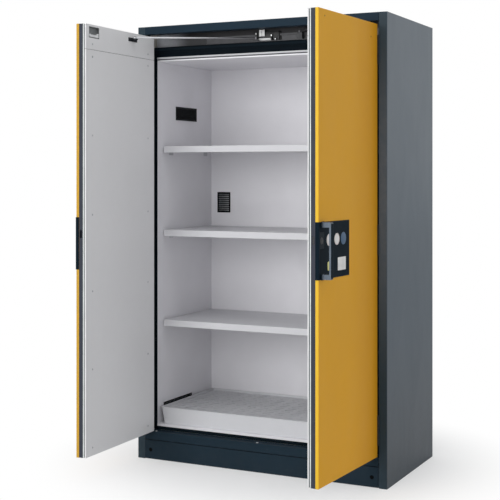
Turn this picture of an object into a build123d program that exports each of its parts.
from build123d import *
import math
import os

# Flammable storage cabinet with two wing doors, both open and held by their stays.
# Frame: origin at the centre of the footprint on the floor, +X to the right seen from the front,
# +Y to the rear wall, +Z up. Millimetres. Names in _X are half widths unless they hold a range.

os.makedirs("parts", exist_ok=True)

# ---------------------------------------------------------------- driving dimensions
WIDTH, DEPTH, HEIGHT = 1193.0, 615.0, 1953.0
HALF_W, FRONT, BACK = WIDTH / 2, -DEPTH / 2, DEPTH / 2
SHEET = 1.5                           # sheet of casing and ducts
STILE_X = 560.0                       # inner edge of the front stiles
REAR_EDGE_X = 576.0                   # inner edge of the rear returns
ROOF_X = 594.9
ROOF_FLANGE = 18.0                    # from the roof's top to the foot of its flanges
JAMB_Y = FRONT + 48.0                 # front face of the dark rebate frame
CLEAR_X = 525.0                       # clear half width inside
CLEAR_Z0, CLEAR_Z1 = 152.0, 1799.0    # clear height inside
CLEAR_BACK = 261.5                    # front face of the rear liner
LINER = 3.0
LINER_X = CLEAR_X + LINER             # outer face of the side liners
LINER_FRONT = JAMB_Y + 4.2
LINER_BACK = CLEAR_BACK + LINER
PLINTH_Z, SILL_Z = 86.0, 126.0
REBATE_Z = 1863.0                     # top of the rebate frame, floor of the lintel recess
FASCIA_Z = 1919.0                     # underside of the fascia
RECESS_BACK = -200.0                  # rear of the lintel recess
RUN = 0.06                            # radial running clearance

# Doors: u from the hinge edge to the free edge, t from the outer face inwards
DOOR_W, DOOR_Z0, DOOR_Z1 = 553.0, 129.0, 1903.5
SKIN, SKIN_RETURN = 1.2, 13.5         # outer sheet and the depth of its returns
CORE_T, INNER_T, DOOR_T = 32.0, 41.0, 46.0
SEAM_Z = 1800.0                       # seam between the inner plates
PANEL_U0, PANEL_Z0, PANEL_Z1 = 284.0, 898.0, 1112.0
PANEL_T = 1.6                         # control panel, proud of the outer face
POCKET_U, POCKET_Z = (453.0, 529.0), (1848.0, 1894.0)
CATCH = (519.0, 1858.0)               # u, z of the catch stud
CATCH_R = 3.0
LOCK_U, LOCK_Z, LOCK_R = 536.0, 1043.0, 8.5

PIVOT_OFF = 1.5                       # pin axis stands this far outside the door's front corner
PIVOT_X, PIVOT_Y = 557.5, FRONT - PIVOT_OFF
HINGE_Z = (178.0, 958.0, 1738.0)      # foot of each hinge
HINGE_L, KNUCKLE_R, PIN_R = 120.0, 4.5, 2.2
KNUCKLE_PITCH, KNUCKLE_GAP = HINGE_L / 5, 0.2
LEAF_T = 1.5

STAY_U, STAY_T = 186.0, 58.0          # place of the stay pin on each door
STAY_PIN_R, ROD_R = 3.0, 4.0

SHELF_Z = (620.0, 1032.0, 1415.0)
SHELF_X, SHELF_Y0, SHELF_Y1, SHELF_LIP = 518.0, -212.5, 255.0, 29.0
TRAY_Z = 228.0

SPIGOTS = {"exhaust": (-470.0, 192.0), "supply": (-290.0, 192.0)}
SPIGOT_R, SPIGOT_TOP = 37.5, 2003.0
FLAP_Z, FLAP_R, FLAP_T, FLAP_SHAFT_R = 1962.0, 35.4, 2.0, 2.5

FEET = {
    "front_left": (-540.0, -226.0), "front_right": (540.0, -226.0),
    "rear_left": (-540.0, 262.0), "rear_right": (540.0, 262.0),
}
FOOT_STEM_R = 6.0

# x, z of the flush screws along both edges and the top of the rear panel
REAR_SCREWS = [(x, z) for x in (-566, 566) for z in (60, 380, 700, 1020, 1340, 1660, 1900)]
REAR_SCREWS += [(x, 1934) for x in (-340, 0, 340)]
REAR_SCREW_PLACES = [Location((x, BACK - SHEET / 2, z), (-90, 0, 0)) for x, z in REAR_SCREWS]
REAR_SCREW_R = 4.6
PLUG_PLACES = [Location((x, FRONT, 42.5), (90, 0, 0)) for x in (-530, 530)]

SIDES = (-1, 1)                       # left, right
CUT = Mode.SUBTRACT


# ---------------------------------------------------------------- helpers
def block(x0, x1, y0, y1, z0, z1, mode=Mode.ADD):
    """A block between two corners, given in any order, in the plane of the part being built."""
    with Locations(((x0 + x1) / 2, (y0 + y1) / 2, (z0 + z1) / 2)):
        Box(abs(x1 - x0), abs(y1 - y0), abs(z1 - z0), mode=mode)


def block_pair(x0, x1, y0, y1, z0, z1, mode=Mode.ADD):
    """The same block on the left and on the right."""
    for sign in SIDES:
        block(sign * x0, sign * x1, y0, y1, z0, z1, mode)


def post(x, y, z0, z1, radius, mode=Mode.ADD):
    """An upright cylinder."""
    with Locations((x, y, (z0 + z1) / 2)):
        Cylinder(radius, z1 - z0, mode=mode)


def grow(ranges, margin):
    """Low, high pairs widened by a margin at both ends."""
    return tuple(v + (margin if i % 2 else -margin) for i, v in enumerate(ranges))


def near(value, target):
    return abs(value - target) < 0.01


def save(item, name):
    item.part.label = name
    export_step(item.part, "parts/" + name + ".step")


# ---------------------------------------------------------------- casing
for side, sign in (("left", -1), ("right", 1)):
    with BuildPart() as side_panel:
        with BuildSketch(Plane.XY) as profile:
            with BuildLine():
                Polyline(
                    (sign * STILE_X, JAMB_Y),
                    (sign * STILE_X, FRONT),
                    (sign * HALF_W, FRONT),
                    (sign * HALF_W, BACK),
                    (sign * REAR_EDGE_X, BACK),
                    (sign * REAR_EDGE_X, BACK - SHEET),
                    (sign * (HALF_W - SHEET), BACK - SHEET),
                    (sign * (HALF_W - SHEET), FRONT + SHEET),
                    (sign * (STILE_X + SHEET), FRONT + SHEET),
                    (sign * (STILE_X + SHEET), JAMB_Y),
                    close=True)
            make_face()
            outer = [v for v in profile.vertices() if near(abs(v.X), HALF_W)
                     or (near(abs(v.X), STILE_X) and near(v.Y, FRONT))]
            fillet(outer, 2.4)
            inner = [v for v in profile.vertices() if near(abs(v.X), HALF_W - SHEET)
                     or (near(abs(v.X), STILE_X + SHEET) and near(v.Y, FRONT + SHEET))]
            fillet(inner, 0.9)
        extrude(amount=HEIGHT)
        # the jamb return stops just under the roof sheet
        block(sign * 559, sign * 563.2, FRONT + SHEET + 0.02, JAMB_Y + 1,
              HEIGHT - 2, HEIGHT + 1, CUT)
        for z in HINGE_Z:
            post(sign * PIVOT_X, PIVOT_Y, z - 1, z + HINGE_L + 1, KNUCKLE_R + 0.7, CUT)
    save(side_panel, "side_panel_" + side)

# roof sheet with flanges at both sides and at the rear
roof_y0, roof_y1 = FRONT + 1.6, BACK - 1.6
with BuildPart() as roof_panel:
    block(-ROOF_X, ROOF_X, roof_y0, roof_y1, HEIGHT - SHEET, HEIGHT)
    block_pair(ROOF_X - SHEET, ROOF_X, roof_y0, roof_y1, HEIGHT - ROOF_FLANGE, HEIGHT - SHEET)
    block(-ROOF_X + SHEET, ROOF_X - SHEET, roof_y1 - SHEET, roof_y1,
          HEIGHT - ROOF_FLANGE, HEIGHT - SHEET)
    upright_edges = roof_panel.edges().filter_by(Axis.Z)
    fillet([e for e in upright_edges if near(abs(e.center().X), ROOF_X)], 1.2)
    for x, y in SPIGOTS.values():
        post(x, y, HEIGHT - 5, HEIGHT + 1, SPIGOT_R + 0.8, CUT)
save(roof_panel, "roof_panel")

fascia_x, fascia_back = STILE_X - 0.3, JAMB_Y - 6
with BuildPart() as front_fascia:
    with BuildSketch(Plane.YZ.offset(-fascia_x)) as profile:
        with BuildLine():
            Polyline(
                (FRONT, HEIGHT),
                (FRONT, FASCIA_Z),
                (fascia_back, FASCIA_Z),
                (fascia_back, FASCIA_Z + 12),
                (fascia_back - SHEET, FASCIA_Z + 12),
                (fascia_back - SHEET, FASCIA_Z + SHEET),
                (FRONT + SHEET, FASCIA_Z + SHEET),
                (FRONT + SHEET, HEIGHT),
                close=True)
        make_face()
        fillet([v for v in profile.vertices() if near(v.Y, FRONT) and near(v.Z, FASCIA_Z)], 2.4)
    extrude(amount=2 * fascia_x)
save(front_fascia, "front_fascia")

with BuildPart() as rear_panel:
    block(-REAR_EDGE_X + 0.3, REAR_EDGE_X - 0.3, BACK - SHEET, BACK, 3, HEIGHT - 0.3)
    # two shallow stiffening beads
    for x in (-200, 200):
        block(x - 13, x + 13, BACK - 0.5, BACK, 230, 1730, CUT)
    with Locations(*REAR_SCREW_PLACES):
        Cylinder(REAR_SCREW_R + 0.05, SHEET + 1, mode=CUT)
save(rear_panel, "rear_panel")

with BuildPart() as casing_screws:
    # rear screws lie flush, so the back can rest on a wall
    with Locations(*REAR_SCREW_PLACES):
        Cylinder(REAR_SCREW_R, SHEET)
    # silver pins on the sill
    for x in (-508, 0, 508):
        post(x, FRONT + 13, SILL_Z, SILL_Z + 1.6, 5)
save(casing_screws, "casing_screws")

# transport base: inverted channel, U-shaped in plan and open at the front for lifting forks
BASE_X, BASE_LEG_X = 594.5, 490.0
BASE_Y0, BASE_CROSS_Y, BASE_Y1 = -259.0, 240.0, 304.0
BASE_T = 3.0
with BuildPart() as base_frame:
    block_pair(BASE_LEG_X, BASE_X, BASE_Y0, BASE_Y1, 0, PLINTH_Z)
    block(-BASE_LEG_X, BASE_LEG_X, BASE_CROSS_Y, BASE_Y1, 0, PLINTH_Z)
    block(-BASE_X, BASE_X, BASE_Y0, BASE_Y1, PLINTH_Z, PLINTH_Z + BASE_T)
    channel_top = PLINTH_Z - BASE_T
    block_pair(BASE_LEG_X + BASE_T, BASE_X - BASE_T, BASE_Y0 + BASE_T, BASE_Y1 - BASE_T,
               -1, channel_top, CUT)
    block(-BASE_LEG_X - BASE_T, BASE_LEG_X + BASE_T, BASE_CROSS_Y + BASE_T, BASE_Y1 - BASE_T,
          -1, channel_top, CUT)
    # sockets for the levelling feet
    for x, y in FEET.values():
        post(x, y, 50, channel_top, 14)
        post(x, y, 49, channel_top - 1, FOOT_STEM_R + RUN, CUT)
save(base_frame, "base_frame")

for name, (x, y) in FEET.items():
    with BuildPart() as foot:
        with BuildSketch():
            with Locations((x, y)):
                RegularPolygon(24, 8)
        extrude(amount=9)
        chamfer(foot.edges().group_by(Axis.Z)[0], 1)
        post(x, y, 9, 78, FOOT_STEM_R)
    save(foot, "levelling_foot_" + name)

with BuildPart() as plinth_cover:
    block(-556, 556, FRONT, FRONT + SHEET, 2, PLINTH_Z)
    block(-556, 556, FRONT + SHEET, FRONT + 22, PLINTH_Z - SHEET, PLINTH_Z)
    block(-556, 556, FRONT + SHEET, FRONT + 7, 2, 2 + SHEET)
    with Locations(*PLUG_PLACES):
        Cylinder(7.2, 10, mode=CUT)
save(plinth_cover, "plinth_cover")

# plugs with a head in front of the plinth and a body behind it
with BuildPart() as plinth_plugs:
    with Locations(*PLUG_PLACES):
        with Locations((0, 0, 0.6)):
            Cylinder(8.6, 1.2)
        with Locations((0, 0, -3)):
            Cylinder(7.0, 6)
save(plinth_plugs, "plinth_plugs")

sill_x, sill_z0 = 558.6, PLINTH_Z + BASE_T
with BuildPart() as sill_cover:
    block(-sill_x, sill_x, FRONT, FRONT + SHEET, sill_z0, SILL_Z)
    block(-sill_x, sill_x, FRONT + SHEET, JAMB_Y - 0.2, SILL_Z - SHEET, SILL_Z)
    block(-sill_x, sill_x, FRONT + SHEET, FRONT + 20, sill_z0, sill_z0 + SHEET)
    fillet(sill_cover.edges().filter_by(Axis.X).group_by(Axis.Z)[-1].sort_by(Axis.Y)[0], 2.2)
save(sill_cover, "sill_cover")

# ---------------------------------------------------------------- rebate round the opening
with BuildPart() as rebate_frame:
    block(-559.7, 559.7, JAMB_Y, JAMB_Y + 4, SILL_Z + 0.5, REBATE_Z)
    block(-CLEAR_X, CLEAR_X, JAMB_Y - 1, JAMB_Y + 5, 140.6, 1818.2, CUT)
    # shallow grooves above and beside the opening
    block(-545, 545, JAMB_Y, JAMB_Y + 1.2, 1837.5, 1840.5, CUT)
    block_pair(543.5, 545, JAMB_Y, JAMB_Y + 1.2, 150, 1800, CUT)
save(rebate_frame, "rebate_frame")

with BuildPart() as frame_seals:
    block_pair(548, 557, JAMB_Y - 1.0, JAMB_Y, 133, 1846)
    block(-557, 557, JAMB_Y - 1.0, JAMB_Y, 1848, 1858)
    block(-520, 520, JAMB_Y - 1.0, JAMB_Y, 129, 137)
save(frame_seals, "frame_seals")

with BuildPart() as ceiling_trim:
    block(-CLEAR_X + 0.2, CLEAR_X - 0.2, JAMB_Y - 0.6, JAMB_Y + 14, 1810.5, 1818.0)
    fillet(ceiling_trim.edges().filter_by(Axis.X).group_by(Axis.Y)[0], 2.0)
save(ceiling_trim, "ceiling_trim")

# ---------------------------------------------------------------- grille and duct places
# left wall grilles: y0, y1, z0, z1, and the openings behind them
UPPER_GRILLE = (-90.0, 108.0, 1540.0, 1603.0)
LOWER_GRILLE = (-200.0, 60.0, 224.0, 238.0)
UPPER_OPENING = grow(UPPER_GRILLE, -6)
LOWER_OPENING = grow(LOWER_GRILLE[:2], -4) + grow(LOWER_GRILLE[2:], -3)
REAR_GRILLE_X, REAR_GRILLE_Z = (-490.0, -419.0), (1098.0, 1198.0)

RISER_X, RISER_Y = (-585.0, -530.0), (20.0, 108.0)   # exhaust riser in the left wall
DUCT_Z0, DUCT_Z1 = 1885.0, 1914.0                    # plenums in the roof void
DUCT_GAP = 0.3                                       # between ducts and insulation
# duct boxes: x0, x1, y0, y1, z0, z1
EXHAUST_RISER = (*RISER_X, *RISER_Y, 206, DUCT_Z1)
EXHAUST_PLENUM = (RISER_X[0], -400, RISER_Y[0], 240, DUCT_Z0, DUCT_Z1)
EXHAUST_FOOT = (*RISER_X, -204, RISER_Y[1], 206, 262)
SUPPLY_DROP = (*REAR_GRILLE_X, 268, 302, REAR_GRILLE_Z[0], DUCT_Z1)
SUPPLY_PLENUM = (REAR_GRILLE_X[0], -240, 246, 302, DUCT_Z0, DUCT_Z1)
SUPPLY_BRANCH = (-345, -240, 150, 302, DUCT_Z0, DUCT_Z1)

# ---------------------------------------------------------------- liner boards
with BuildPart() as liner_boards:
    # side boards
    block(-LINER_X, -CLEAR_X, LINER_FRONT, CLEAR_BACK - 0.1, CLEAR_Z0 + 0.1, CLEAR_Z1)
    block(-CLEAR_X - 5, -CLEAR_X + 1, *UPPER_OPENING, CUT)
    block(-CLEAR_X - 5, -CLEAR_X + 1, *LOWER_OPENING, CUT)
    block(CLEAR_X, LINER_X, LINER_FRONT, CLEAR_BACK - 0.1, CLEAR_Z0 + 0.1, CLEAR_Z1)
    # rear board
    block(-LINER_X, LINER_X, CLEAR_BACK, LINER_BACK, CLEAR_Z0 + 0.1, CLEAR_Z1)
    block(*grow(REAR_GRILLE_X, -5), CLEAR_BACK - 1, CLEAR_BACK + 5, *grow(REAR_GRILLE_Z, -5), CUT)
    # ceiling board
    block(-LINER_X, LINER_X, LINER_FRONT, LINER_BACK, CLEAR_Z1 + 0.1, CLEAR_Z1 + 9)
    # floor board, with a tongue into the opening
    block(-LINER_X, LINER_X, LINER_FRONT, LINER_BACK, 141, CLEAR_Z0)
    block(-CLEAR_X + 0.3, CLEAR_X - 0.3, JAMB_Y + 0.2, LINER_FRONT, 141, CLEAR_Z0)
    fillet(liner_boards.edges().filter_by(Axis.X).group_by(Axis.Y)[0], 1.5)
save(liner_boards, "liner_boards")


# ---------------------------------------------------------------- air ducts
def hollow_run(*boxes):
    """Joined boxes of duct, hollowed to the sheet thickness."""
    for box in boxes:
        block(*box)
    for box in boxes:
        block(*grow(box, -SHEET), CUT)


with BuildPart() as air_ducts:
    hollow_run(EXHAUST_RISER, EXHAUST_PLENUM, EXHAUST_FOOT)
    block(RISER_X[1] - 3, RISER_X[1] + 1, RISER_Y[0] + 5, *UPPER_OPENING[1:], CUT)
    block(RISER_X[1] - 3, RISER_X[1] + 1, *LOWER_OPENING, CUT)
    post(*SPIGOTS["exhaust"], DUCT_Z1 - 3, DUCT_Z1 + 1, 35.5, CUT)
    # supply duct, behind the rear board
    hollow_run(SUPPLY_DROP, SUPPLY_PLENUM, SUPPLY_BRANCH)
    block(*grow(REAR_GRILLE_X, -5), 266, 271, *grow(REAR_GRILLE_Z, -5), CUT)
    post(*SPIGOTS["supply"], DUCT_Z1 - 3, DUCT_Z1 + 1, 35.5, CUT)
save(air_ducts, "air_ducts")

# ---------------------------------------------------------------- insulation
# fire boards between liner and casing
BOARD_Z0, BOARD_BACK = 89.6, 303.5
with BuildPart() as insulation_boards:
    # side boards, cut back at the lintel recess
    for sign in SIDES:
        block(sign * (LINER_X + 0.2), sign * 594.6, JAMB_Y + 4.2, 304.2, BOARD_Z0, 1950.5)
        block(sign * LINER_X, sign * 560.2, JAMB_Y, RECESS_BACK + 0.2, REBATE_Z - 0.1, 1951, CUT)
    for duct in (EXHAUST_RISER, EXHAUST_FOOT, EXHAUST_PLENUM):
        block(RISER_X[0] - DUCT_GAP, RISER_X[1] + 3, *grow(duct, DUCT_GAP)[2:], CUT)
    block(RISER_X[1] - 1, -LINER_X, *UPPER_OPENING, CUT)
    # relief for the roof flanges
    block_pair(593.2, 595, -300, 306, HEIGHT - ROOF_FLANGE - 0.3, HEIGHT, CUT)
    # rear board
    drop = grow(SUPPLY_DROP, DUCT_GAP)
    block(-LINER_X, LINER_X, LINER_BACK + 0.1, BOARD_BACK, BOARD_Z0, 1817.8)
    block(*drop[:2], 264, *drop[3:5], 1820, CUT)
    # top board, with a lower strip under the lintel recess
    block(-LINER_X, LINER_X, RECESS_BACK + 0.2, BOARD_BACK, 1818.2, 1934.8)
    block(-LINER_X, LINER_X, JAMB_Y + 14.4, RECESS_BACK + 0.1, 1818.2, REBATE_Z - 0.2)
    block(-530, *grow(EXHAUST_PLENUM, DUCT_GAP)[1:], CUT)
    block(*drop[:4], 1817, drop[5], CUT)
    block(*grow(SUPPLY_PLENUM, DUCT_GAP), CUT)
    block(*grow(SUPPLY_BRANCH, DUCT_GAP), CUT)
    for x, y in SPIGOTS.values():
        post(x, y, DUCT_Z1 - 1, 1960, SPIGOT_R + 1, CUT)
    # bottom board
    block(-LINER_X, LINER_X, JAMB_Y + 5, LINER_BACK, BOARD_Z0, 140.8)
save(insulation_boards, "insulation_boards")

# ---------------------------------------------------------------- roof spigots and fire dampers
with BuildPart() as roof_spigots:
    for x, y in SPIGOTS.values():
        post(x, y, DUCT_Z1 + 0.3, SPIGOT_TOP, SPIGOT_R)
        post(x, y, HEIGHT, HEIGHT + 2, 55)
        post(x, y, DUCT_Z1 - 1, SPIGOT_TOP + 1, SPIGOT_R - 1.5, CUT)
    with Locations(*[Location((x, y, FLAP_Z), (0, 90, 0)) for x, y in SPIGOTS.values()]):
        Cylinder(FLAP_SHAFT_R + RUN, 90, mode=CUT)
save(roof_spigots, "roof_spigots")

for name, (x, y) in SPIGOTS.items():
    with BuildPart() as flap:
        with BuildSketch(Plane.XZ.offset(-y - FLAP_T / 2)):
            with Locations((x, FLAP_Z)):
                Circle(FLAP_R)
        extrude(amount=FLAP_T)
        # shaft, ending inside the tube wall so that a duct slides over it
        shaft_half = SPIGOT_R - 0.2
        with BuildSketch(Plane.YZ.offset(x - shaft_half)):
            with Locations((y, FLAP_Z)):
                Circle(FLAP_SHAFT_R)
        extrude(amount=2 * shaft_half)
    save(flap, "damper_flap_" + name)

# ---------------------------------------------------------------- grilles
with BuildPart() as air_grilles:
    # upper grille, left wall: upright slots
    y0, y1, z0, z1 = UPPER_GRILLE
    slots = 20
    pitch = (y1 - y0 - 18) / slots
    block(-CLEAR_X, -CLEAR_X + 2.5, *UPPER_GRILLE)
    block(-CLEAR_X - 2.6, -CLEAR_X, *grow(UPPER_GRILLE, -6.3))
    for i in range(slots):
        y = y0 + 9 + i * pitch
        block(-CLEAR_X - 4, -CLEAR_X + 4, y + 1.2, y + 6.6, z0 + 8, z1 - 8, CUT)
    # lower grille, left wall: one row of short slots
    y0, y1, z0, z1 = LOWER_GRILLE
    block(-CLEAR_X, -CLEAR_X + 1.5, *LOWER_GRILLE)
    for i in range(20):
        y = y0 + 6 + i * 12.5
        block(-CLEAR_X - 1, -CLEAR_X + 4, y, y + 9, z0 + 4, z1 - 4, CUT)
    # rear grille: level slots
    block(*REAR_GRILLE_X, CLEAR_BACK - 2.5, CLEAR_BACK, *REAR_GRILLE_Z)
    for i in range(9):
        z = REAR_GRILLE_Z[0] + 8 + i * 9.6
        block(*grow(REAR_GRILLE_X, -7), CLEAR_BACK - 4, CLEAR_BACK + 1, z, z + 5.4, CUT)
save(air_grilles, "air_grilles")

# ---------------------------------------------------------------- shelves, sump tray, grate
FLANGE = 15.0                         # depth of the shelves' rear and side flanges
with BuildPart() as shelves:
    for z in SHELF_Z:
        lip_z = z - SHELF_LIP
        block(-SHELF_X, SHELF_X, SHELF_Y0, SHELF_Y1, z - SHEET, z)
        block(-SHELF_X, SHELF_X, SHELF_Y0, SHELF_Y0 + SHEET, lip_z, z)
        block(-SHELF_X, SHELF_X, SHELF_Y0, SHELF_Y0 + 14, lip_z, lip_z + SHEET)
        block(-SHELF_X, SHELF_X, SHELF_Y1 - SHEET, SHELF_Y1, z - FLANGE, z)
        block_pair(SHELF_X - SHEET, SHELF_X, SHELF_Y0 + 15, SHELF_Y1 - SHEET, z - FLANGE, z)
    fillet([e for e in shelves.edges().filter_by(Axis.X) if near(e.center().Y, SHELF_Y0)], 1.3)
save(shelves, "shelves")

# angle brackets on the side walls
with BuildPart() as shelf_supports:
    for z in SHELF_Z:
        for sign in SIDES:
            for y in (-150, 180):
                block(sign * 500, sign * CLEAR_X, y, y + 34, z - FLANGE - 2, z - FLANGE)
                block(sign * 523, sign * CLEAR_X, y, y + 34, z - 40, z - FLANGE)
save(shelf_supports, "shelf_supports")

with BuildPart() as sump_tray:
    with BuildSketch(Plane.XY.offset(CLEAR_Z0 + 0.3)):
        with Locations((0, -1.5)):
            Rectangle(992, 483)
    with BuildSketch(Plane.XY.offset(TRAY_Z)):
        with Locations((0, 4)):
            Rectangle(1018, 502)
    loft()
    corners = [e for e in sump_tray.edges() if abs((e @ 1 - e @ 0).Z) > 50]
    fillet(corners, 6)
    offset(amount=-SHEET, openings=sump_tray.faces().sort_by(Axis.Z)[-1])
    # rim
    with BuildSketch(Plane.XY.offset(TRAY_Z - SHEET)):
        with Locations((0, 4)):
            RectangleRounded(1026, 510, 8)
            RectangleRounded(1014.5, 498.5, 5, mode=CUT)
    extrude(amount=SHEET)
save(sump_tray, "sump_tray")

GRATE_X, GRATE_Y0, GRATE_Y1 = 501.0, -242.0, 246.0
GRATE_Z0, GRATE_Z1 = 200.0, 219.0
with BuildPart() as tray_grate:
    sheet_z = GRATE_Z1 - SHEET
    block(-GRATE_X, GRATE_X, GRATE_Y0, GRATE_Y1, sheet_z, GRATE_Z1)
    block(-GRATE_X, GRATE_X, GRATE_Y0, GRATE_Y0 + SHEET, GRATE_Z0, sheet_z)
    block(-GRATE_X, GRATE_X, GRATE_Y1 - SHEET, GRATE_Y1, GRATE_Z0, sheet_z)
    with BuildSketch(Plane.XY.offset(216)):
        with Locations((0, 2)):
            with GridLocations(62, 36, 16, 13):
                SlotOverall(44, 12)
    extrude(amount=5, mode=CUT)
save(tray_grate, "tray_grate")

# ---------------------------------------------------------------- lintel recess
with BuildPart() as lintel_tray:
    block(-559.6, 559.6, JAMB_Y + 0.2, RECESS_BACK, REBATE_Z + 0.4, REBATE_Z + 1.4)
    block(-559.6, 559.6, RECESS_BACK - 1, RECESS_BACK, REBATE_Z + 1.4, 1950.9)
    fillet(lintel_tray.edges().filter_by(Axis.X).group_by(Axis.Z)[1].sort_by(Axis.Y)[0], 0.6)
save(lintel_tray, "lintel_tray")

RAIL_Z0, RAIL_Z1, RAIL_FRONT, RAIL_BACK = 1868.0, 1902.0, -207.0, -201.1
with BuildPart() as lintel_rail:
    block(-296, 296, RAIL_FRONT, RAIL_BACK, RAIL_Z0, RAIL_Z1)
    block(-296, 296, RAIL_FRONT - 4, RAIL_FRONT, RAIL_Z1 - 8, RAIL_Z1)
    block(-296, 296, RAIL_FRONT - 4, RAIL_FRONT, RAIL_Z0, RAIL_Z0 + 5)
    block_pair(297, 545, RAIL_FRONT + 3, RAIL_BACK, RAIL_Z0, RAIL_Z1)
    # low twin-slot track the stay sliders run in
    block(-90, 215, -247, -224.5, REBATE_Z + 1.5, 1868.6)
    block(-88, 213, -243.1, -237.9, 1866.2, 1869, CUT)
    block(-88, 213, -232.9, -227.6, 1866.2, 1869, CUT)
save(lintel_rail, "lintel_rail")

ROLLER_Y, ROLLER_Z, ROLLER_SHAFT_R = -218.6, 1878.0, 2.5
with BuildPart() as selector_bracket:
    block(-34, 76, -211, -207.2, 1875, 1893)
    for x in (-31, 34):
        block(x - 2, x + 2, -223.5, -207.2, 1873.2, 1884)
    with Locations(Location((1.5, ROLLER_Y, ROLLER_Z), (0, 90, 0))):
        Cylinder(ROLLER_SHAFT_R, 66)
    # stepped round boss, facing forward
    with Locations(Location((56, -216.3, 1884), (90, 0, 0))):
        Cylinder(15, 10.6)
    with Locations(Location((56, -222.6, 1884), (90, 0, 0))):
        Cylinder(9, 2.4)
save(selector_bracket, "selector_bracket")

with BuildPart() as selector_roller:
    with BuildSketch(Plane.YZ.offset(-28)):
        with Locations((ROLLER_Y, ROLLER_Z)):
            Circle(6.6)
            Circle(ROLLER_SHAFT_R + RUN, mode=CUT)
    extrude(amount=59)
    # outer edge at the left end, then at the right end
    for end in (slice(None, 2), slice(-2, None)):
        circles = selector_roller.edges().filter_by(GeomType.CIRCLE).sort_by(Axis.X)
        chamfer(circles[end].sort_by(SortBy.RADIUS)[-1], 0.8)
save(selector_roller, "selector_roller")

# ---------------------------------------------------------------- hinges on the casing
with BuildPart() as hinge_frame_leaves:
    for sign in SIDES:
        leaf_x = (sign * (STILE_X - LEAF_T), sign * STILE_X)
        for foot_z in HINGE_Z:
            block(*leaf_x, PIVOT_Y + 4.8, JAMB_Y - 8, foot_z, foot_z + HINGE_L)
            for i in (0, 2, 4):
                z0 = foot_z + KNUCKLE_PITCH * i
                z1 = z0 + KNUCKLE_PITCH - (0 if i == 4 else KNUCKLE_GAP)
                block(*leaf_x, PIVOT_Y, PIVOT_Y + 4.8, z0, z1)
                post(sign * PIVOT_X, PIVOT_Y, z0, z1, KNUCKLE_R)
            post(sign * PIVOT_X, PIVOT_Y, foot_z - 1, foot_z + HINGE_L + 1, PIN_R, CUT)
save(hinge_frame_leaves, "hinge_frame_leaves")

with BuildPart() as hinge_pins:
    for sign in SIDES:
        for z in HINGE_Z:
            post(sign * PIVOT_X, PIVOT_Y, z, z + HINGE_L, PIN_R)
            post(sign * PIVOT_X, PIVOT_Y, z + HINGE_L, z + HINGE_L + 0.8, PIN_R + 0.7)
save(hinge_pins, "hinge_pins")


# ---------------------------------------------------------------- doors
class Door:
    """An open door. Its plane starts at the hinge edge of the outer face, on the floor:
    +X along u, +Z up, and t along its +Y (left door) or -Y (right door)."""

    def __init__(self, side, sign, open_angle, rod_z, slider):
        swing = math.radians(open_angle)
        self.side = side
        self.rod_z = rod_z            # height of the stay rod
        self.slider = slider          # x, y of the stay slider
        self.t_sign = -sign
        self.along = Vector(-sign * math.cos(swing), -math.sin(swing), 0)
        self.inward = Vector(-sign * math.sin(swing), math.cos(swing), 0)
        pivot = Vector(sign * PIVOT_X, PIVOT_Y, 0)
        self.corner = pivot + self.along * PIVOT_OFF + self.inward * PIVOT_OFF
        self.plane = Plane(origin=self.corner, x_dir=self.along, z_dir=(0, 0, 1))

    def block(self, u0, u1, t0, t1, z0, z1, mode=Mode.ADD):
        block(u0, u1, self.t_sign * t0, self.t_sign * t1, z0, z1, mode)

    def slab(self, margin, t0, t1, mode=Mode.ADD):
        """A block over the whole door, less a margin all round."""
        self.block(margin, DOOR_W - margin, t0, t1, DOOR_Z0 + margin, DOOR_Z1 - margin, mode)

    def pocket(self, margin, t0, t1, mode=Mode.ADD):
        """A block filling the catch pocket, less a margin all round."""
        self.block(*grow(POCKET_U, -margin), t0, t1, *grow(POCKET_Z, -margin), mode)

    def disc(self, u, z, t0, t1, radius, mode=Mode.ADD):
        """A round piece standing at right angles to the door's face."""
        with Locations(Location((u, self.t_sign * (t0 + t1) / 2, z), (90, 0, 0))):
            Cylinder(radius, abs(t1 - t0), mode=mode)

    def pivot_post(self, z0, z1, radius, mode=Mode.ADD):
        post(-PIVOT_OFF, -self.t_sign * PIVOT_OFF, z0, z1, radius, mode)

    def cut_hinge_seats(self, depth):
        for z in HINGE_Z:
            self.block(-1, 1.7, -3, depth, z - 0.3, z + HINGE_L + 0.3, CUT)
            self.pivot_post(z - 1.2, z + HINGE_L + 1.2, KNUCKLE_R + 0.9, CUT)

    def at_depth(self, shape, t):
        return near((shape.center() - self.corner).dot(self.inward), t)

    def face_edges(self, part, t):
        """The edges of all faces lying at depth t."""
        return [e for f in part.faces() if self.at_depth(f, t) for e in f.edges()]


def door_skin(door):
    """Folded yellow sheet with a return on all four sides."""
    with BuildPart(door.plane) as skin:
        door.slab(0, 0, SKIN_RETURN)
        outer_face = [f for f in skin.faces() if door.at_depth(f, 0)][0]
        fillet(outer_face.edges(), 2.0)
        door.slab(SKIN, SKIN, SKIN_RETURN + 1, CUT)
        door.cut_hinge_seats(SKIN_RETURN + 1)
        if door.side == "right":
            door.disc(LOCK_U, LOCK_Z, -1, 3, LOCK_R + 1.1, CUT)
    save(skin, door.side + "_door_skin")


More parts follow.
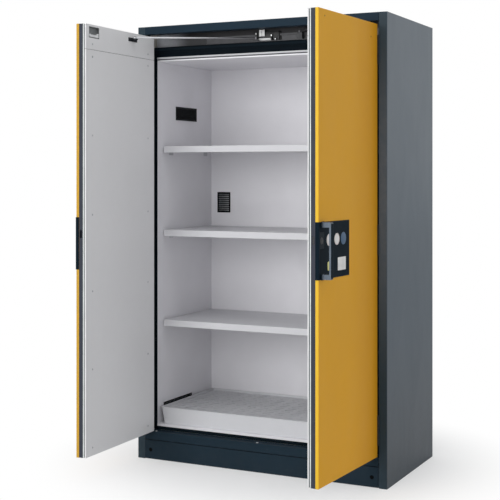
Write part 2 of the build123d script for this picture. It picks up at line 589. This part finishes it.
def door_core(door):
    """Insulated core with its dark edge, recessed for the lock and the catch box."""
    with BuildPart(door.plane) as core:
        door.slab(SKIN + 0.1, SKIN + 0.1, SKIN_RETURN + 0.1)
        door.slab(0.6, SKIN_RETURN + 0.1, CORE_T)
        door.slab(3.2, CORE_T, INNER_T - 0.05)
        door.cut_hinge_seats(31.8)
        if door.side == "right":
            door.disc(LOCK_U, LOCK_Z, 0, 17.4, 14, CUT)
            door.block(515, DOOR_W + 1, 17.4, 26.6, LOCK_Z - 15, LOCK_Z + 15, CUT)
        else:
            door.block(DOOR_W - 14, DOOR_W + 1, 17.0, 27.0, LOCK_Z - 16, LOCK_Z + 16, CUT)
        door.pocket(0, 35.9, 42, CUT)
    save(core, door.side + "_door_core")


def edge_bead(door):
    """Light sealing bead round the edge, between core and inner plates."""
    with BuildPart(door.plane) as bead:
        door.slab(0.5, CORE_T + 0.05, 36.6)
        door.slab(3.1, CORE_T - 1, 38, CUT)
    save(bead, door.side + "_edge_bead")


def inner_plates(door):
    """Tall main plate and the separate top plate with the catch pocket."""
    with BuildPart(door.plane) as plates:
        door.block(0.3, DOOR_W - 0.3, INNER_T, DOOR_T, DOOR_Z0 + 0.3, SEAM_Z - 0.7)
        door.block(0.3, DOOR_W - 0.3, INNER_T, DOOR_T, SEAM_Z + 0.7, DOOR_Z1 - 0.3)
        fillet(door.face_edges(plates, DOOR_T), 1.0)
        door.pocket(0, INNER_T - 1, DOOR_T + 1, CUT)
    save(plates, door.side + "_inner_plates")


def door_screws(door):
    with BuildPart(door.plane) as screws:
        for z in (163, 485, 806, 1121, 1447, 1771, 1823):
            for u in (55, 503):
                door.disc(u, z, DOOR_T, DOOR_T + 1.2, 4.2)
    save(screws, door.side + "_door_screws")


def control_panel(door):
    """Dark panel, wrapped round the free edge."""
    with BuildPart(door.plane) as panel:
        door.block(PANEL_U0, DOOR_W + 1.3, -PANEL_T, 0, PANEL_Z0, PANEL_Z1)
        door.block(DOOR_W, DOOR_W + 1.3, -PANEL_T, SKIN_RETURN, PANEL_Z0, PANEL_Z1)
        if door.side == "right":
            door.disc(LOCK_U, LOCK_Z, -3, 1, LOCK_R + 1.1, CUT)
    save(panel, door.side + "_control_panel")


def hinge_leaves(door):
    """Leaves let into the door's edge, with their knuckles."""
    with BuildPart(door.plane) as leaves:
        for foot_z in HINGE_Z:
            door.block(0, LEAF_T, 3.3, 31.5, foot_z, foot_z + HINGE_L)
            for i in (1, 3):
                z0 = foot_z + KNUCKLE_PITCH * i
                z1 = z0 + KNUCKLE_PITCH - KNUCKLE_GAP
                door.block(0, LEAF_T, -PIVOT_OFF, 3.3, z0, z1)
                door.pivot_post(z0, z1, KNUCKLE_R)
            door.pivot_post(foot_z - 1, foot_z + HINGE_L + 1, PIN_R + RUN, CUT)
    save(leaves, door.side + "_hinge_leaves")


def door_fittings(door):
    """Stay bracket with its upright pin, and the catch box."""
    rod_under = door.rod_z - ROD_R
    plate_drop = 9 if door.side == "right" else 13
    with BuildPart(door.plane) as fittings:
        door.block(151, 222, DOOR_T, DOOR_T + 2, rod_under - plate_drop, rod_under + 3)
        door.block(STAY_U - 12, STAY_U + 12, DOOR_T + 2, STAY_T + 8, rod_under - 5, rod_under - 0.4)
        post(STAY_U, door.t_sign * STAY_T, rod_under - 0.4, rod_under + 10.5, STAY_PIN_R)
        for u in (160, 213):
            door.disc(u, rod_under - 3, DOOR_T + 2, DOOR_T + 3.6, 3.6)
        # catch box, a folded tray let into the door
        door.pocket(0.2, 36.0, DOOR_T - 0.2)
        door.pocket(1.4, 37.4, DOOR_T + 1, CUT)
        door.disc(*CATCH, 35, 38, CATCH_R + RUN, CUT)
    save(fittings, door.side + "_door_fittings")


def catch_lever(door):
    """Bar with an upturned hook, turning on a stud in the catch box."""
    with BuildPart(door.plane) as lever:
        door.disc(*CATCH, 36.1, 38.0, CATCH_R)
        door.disc(*CATCH, 38.0, 45.4, 6.2)
        door.block(463, CATCH[0], 39.0, 45.0, 1852, 1862)
        door.block(457, 465, 39.0, 45.6, 1852, 1869)
    save(lever, door.side + "_catch_lever")


def stay_rod(door):
    """Rod from the pin on the door to the slider in the lintel."""
    pin = door.corner + door.along * STAY_U + door.inward * STAY_T
    run_x, run_y = door.slider[0] - pin.X, door.slider[1] - pin.Y
    length = math.hypot(run_x, run_y)
    rod_plane = Plane(origin=(pin.X, pin.Y, door.rod_z), x_dir=(run_x, run_y, 0), z_dir=(0, 0, 1))
    with BuildPart(rod_plane) as rod:
        with Locations(Location((length / 2, 0, 0), (0, 90, 0))):
            Cylinder(ROD_R - 0.4, length)
        post(0, 0, -ROD_R, ROD_R, 8)
        post(0, 0, -6, 6, STAY_PIN_R + RUN, CUT)
        post(length, 0, -ROD_R, ROD_R, 5.4)
        post(length, 0, ROD_R, ROD_R + 1.8, 4.6)
    save(rod, "stay_rod_" + door.side)


def stay_slider(door):
    """Slider under the end of the stay rod, with a foot in the track."""
    x, y = door.slider
    with BuildPart() as slider:
        block(x - 13, x + 13, y - 4.0, y + 4.0, 1868.8, door.rod_z - ROD_R - 0.5)
        block(x - 12, x + 12, y - 2.4, y + 2.4, 1866.4, 1868.8)
        fillet(slider.edges().filter_by(Axis.Z).group_by(SortBy.LENGTH)[-1], 1.5)
    save(slider, "stay_slider_" + door.side)


def pull_handle(door):
    """C-shaped handle in front of the control panel."""
    reach = 40.0
    z0, z1 = PANEL_Z0 + 1, PANEL_Z1 - 1
    with BuildPart(door.plane) as handle:
        door.block(512, 532, -reach, -PANEL_T, z0, z1)
        door.block(511, 533, -32.5, -1.5, z0 + 19, z1 - 19, CUT)
        bends = [e for e in handle.edges() if door.at_depth(e, -reach) and 19 < e.length < 21]
        fillet(bends, 4)
    save(handle, "pull_handle")


def lock_module(door):
    with BuildPart(door.plane) as module:
        door.block(514, 552.5, -4.0, -PANEL_T, 1013.5, 1073.5)
        fillet(door.face_edges(module, -4.0), 1.2)
        door.disc(LOCK_U, LOCK_Z, -5, 0, LOCK_R + RUN, CUT)
    save(module, "lock_module")


def lock_rotor(door):
    """Rotor with a tail and cam at the inner end and a key slot at the outer."""
    with BuildPart(door.plane) as rotor:
        door.disc(LOCK_U, LOCK_Z, -5.2, 10, LOCK_R)
        door.disc(LOCK_U, LOCK_Z, 10, 16, 5)
        door.block(LOCK_U - 3, LOCK_U + 3, 11.5, 16.6, LOCK_Z, LOCK_Z + 12)
        door.block(LOCK_U - 0.8, LOCK_U + 0.8, -6, 3, LOCK_Z - 6, LOCK_Z + 6, CUT)
    save(rotor, "lock_rotor")


def lock_bolt(door):
    tip_u = DOOR_W - 0.8
    with BuildPart(door.plane) as bolt:
        door.block(518, tip_u, 17.8, 26.2, LOCK_Z - 14, LOCK_Z + 14)
        tip_edges = [e for e in bolt.edges()
                     if near((e.center() - door.corner).dot(door.along), tip_u)]
        chamfer(tip_edges, 1.2)
    save(bolt, "lock_bolt")


LEFT_DOOR = Door("left", -1, open_angle=89.0, rod_z=1882.0, slider=(-32.0, -240.5))
RIGHT_DOOR = Door("right", 1, open_angle=87.2, rod_z=1902.0, slider=(172.0, -230.25))

for door in (LEFT_DOOR, RIGHT_DOOR):
    for build in (door_skin, door_core, edge_bead, inner_plates, door_screws, control_panel,
                  hinge_leaves, door_fittings, catch_lever, stay_rod, stay_slider):
        build(door)
for build in (pull_handle, lock_module, lock_rotor, lock_bolt):
    build(RIGHT_DOOR)
